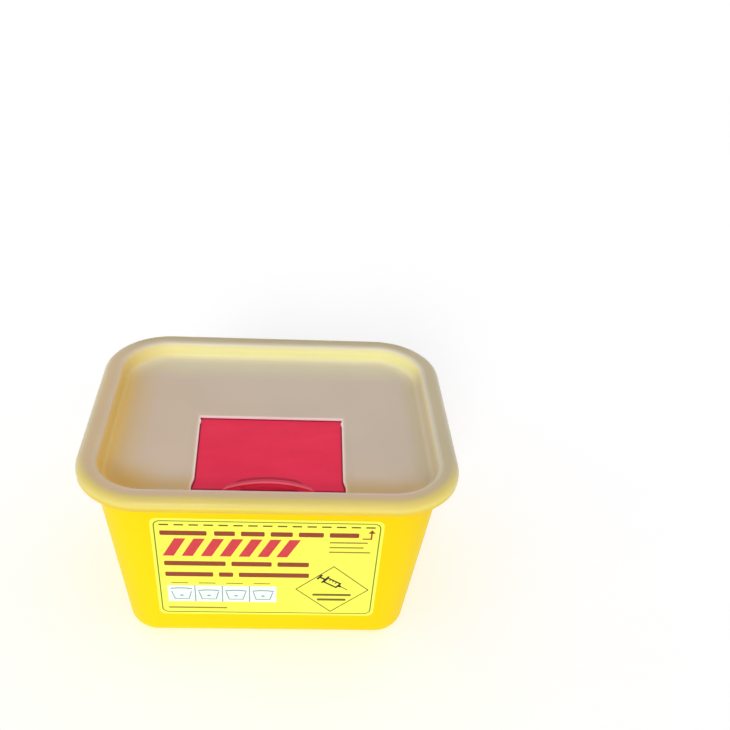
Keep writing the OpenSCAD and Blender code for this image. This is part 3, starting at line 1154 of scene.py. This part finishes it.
def ink_material(name, colour):
    """Screen ink: one colour with slightly uneven cover."""
    m = Nodes(name)
    thin = tuple(min(1.0, c * 1.1 + 0.006) for c in colour)
    m.link(m.ramp(m.noise(350, 3), ((0.35, colour), (0.75, thin))), m.bsdf.inputs["Base Color"])
    m.link(m.scaled(m.noise(120, 3), 0.40, 0.52), m.bsdf.inputs["Roughness"])
    m.set(Specular_IOR_Level=0.3)
    return m.mat


def floor_material():
    """Pale matt sweep."""
    m = Nodes("floor_pale")
    base = m.ramp(m.noise(3, 3), ((0.3, (0.78, 0.78, 0.80)), (0.7, (0.80, 0.80, 0.82))))
    m.link(base, m.bsdf.inputs["Base Color"])
    m.set(Roughness=0.9, Specular_IOR_Level=0.1, Emission_Strength=0.36)
    m.bsdf.inputs["Emission Color"].default_value = (1, 1, 1, 1)
    return m.mat


# ---------------------------------------------------------------- stage, light and camera
def make_stage():
    """Floor just below the container's foot, 8 m across."""
    bm = bmesh.new()
    bmesh.ops.create_grid(bm, x_segments=8, y_segments=8, size=4000)
    floor = new_object("floor", bm)
    floor.location.z = -0.5 * MM
    floor.data.materials.append(floor_material())


def heading(azimuth, elevation):
    """Unit vector from the container toward a place in degrees, azimuth 0 in front of it."""
    a, e = math.radians(azimuth), math.radians(elevation)
    return Vector((math.sin(a) * math.cos(e), -math.cos(a) * math.cos(e), math.sin(e)))


def add_sun(name, strength, azimuth, elevation, spread):
    """Distant soft light; spread is its width in degrees."""
    light = bpy.data.lights.new(name, "SUN")
    light.energy = strength
    light.angle = math.radians(spread)
    obj = bpy.data.objects.new(name, light)
    obj.rotation_euler = (-heading(azimuth, elevation)).to_track_quat("-Z", "Y").to_euler()
    bpy.context.scene.collection.objects.link(obj)


def make_light():
    """A pale surround that is brightest at the horizon, and one soft key from the front left."""
    world = bpy.data.worlds.new("studio")
    world.use_nodes = True
    nodes, links = world.node_tree.nodes, world.node_tree.links
    direction = nodes.new("ShaderNodeSeparateXYZ")
    links.new(nodes.new("ShaderNodeTexCoord").outputs["Generated"], direction.inputs[0])
    sky = nodes.new("ShaderNodeValToRGB")
    sky.color_ramp.interpolation = "EASE"
    horizon, zenith = 0.93, 0.60
    for element, grey in zip(sky.color_ramp.elements, (horizon, zenith)):
        element.color = (grey, grey, grey, 1)
    links.new(direction.outputs["Z"], sky.inputs["Fac"])
    links.new(sky.outputs["Color"], nodes["Background"].inputs["Color"])
    bpy.context.scene.world = world
    bpy.context.scene.view_settings.view_transform = "Standard"
    add_sun("key", strength=0.9, azimuth=-12, elevation=24, spread=16)


CAMERA_AZIMUTH = -3.65
CAMERA_ELEVATION = 35.63
CAMERA_ROLL = 3.46
CAMERA_DISTANCE = 697.5
CAMERA_OFFSET = (-45.29, -56.09)
CAMERA_LENS = 44.21
CAMERA_SHIFT = (0.05, 0.07)
AIM = Vector((0, 0, 80))


def make_camera():
    """A roll-corrected camera; distance and offset are millimetres from the aim point."""
    roll = math.radians(CAMERA_ROLL)
    back = heading(CAMERA_AZIMUTH, CAMERA_ELEVATION)
    level = (-back).cross(Vector((0, 0, 1))).normalized()
    rise = level.cross(-back)
    right = level * math.cos(roll) + rise * math.sin(roll)
    up = rise * math.cos(roll) - level * math.sin(roll)
    across, above = CAMERA_OFFSET
    place = AIM + back * CAMERA_DISTANCE - right * across - up * above
    data = bpy.data.cameras.new("camera")
    data.sensor_width = 36
    data.lens = CAMERA_LENS
    data.shift_x, data.shift_y = CAMERA_SHIFT
    data.clip_start, data.clip_end = 0.01, 50
    obj = bpy.data.objects.new("camera", data)
    turn = Matrix((right, up, back)).transposed()
    obj.matrix_world = Matrix.Translation(place * MM) @ turn.to_4x4()
    bpy.context.scene.collection.objects.link(obj)
    bpy.context.scene.camera = obj


# ---------------------------------------------------------------- build
make_camera()
make_light()
make_stage()
make_tub()
make_lid()
make_slide()
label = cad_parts["front_label"]
label.data.materials.clear()
label.data.materials.append(sticker_material())
print_frame()
print_fill_line()
print_bars()
print_stripes()
print_small_lines()
print_panels()
print_panel_icons()
print_diamond()
print_syringe()
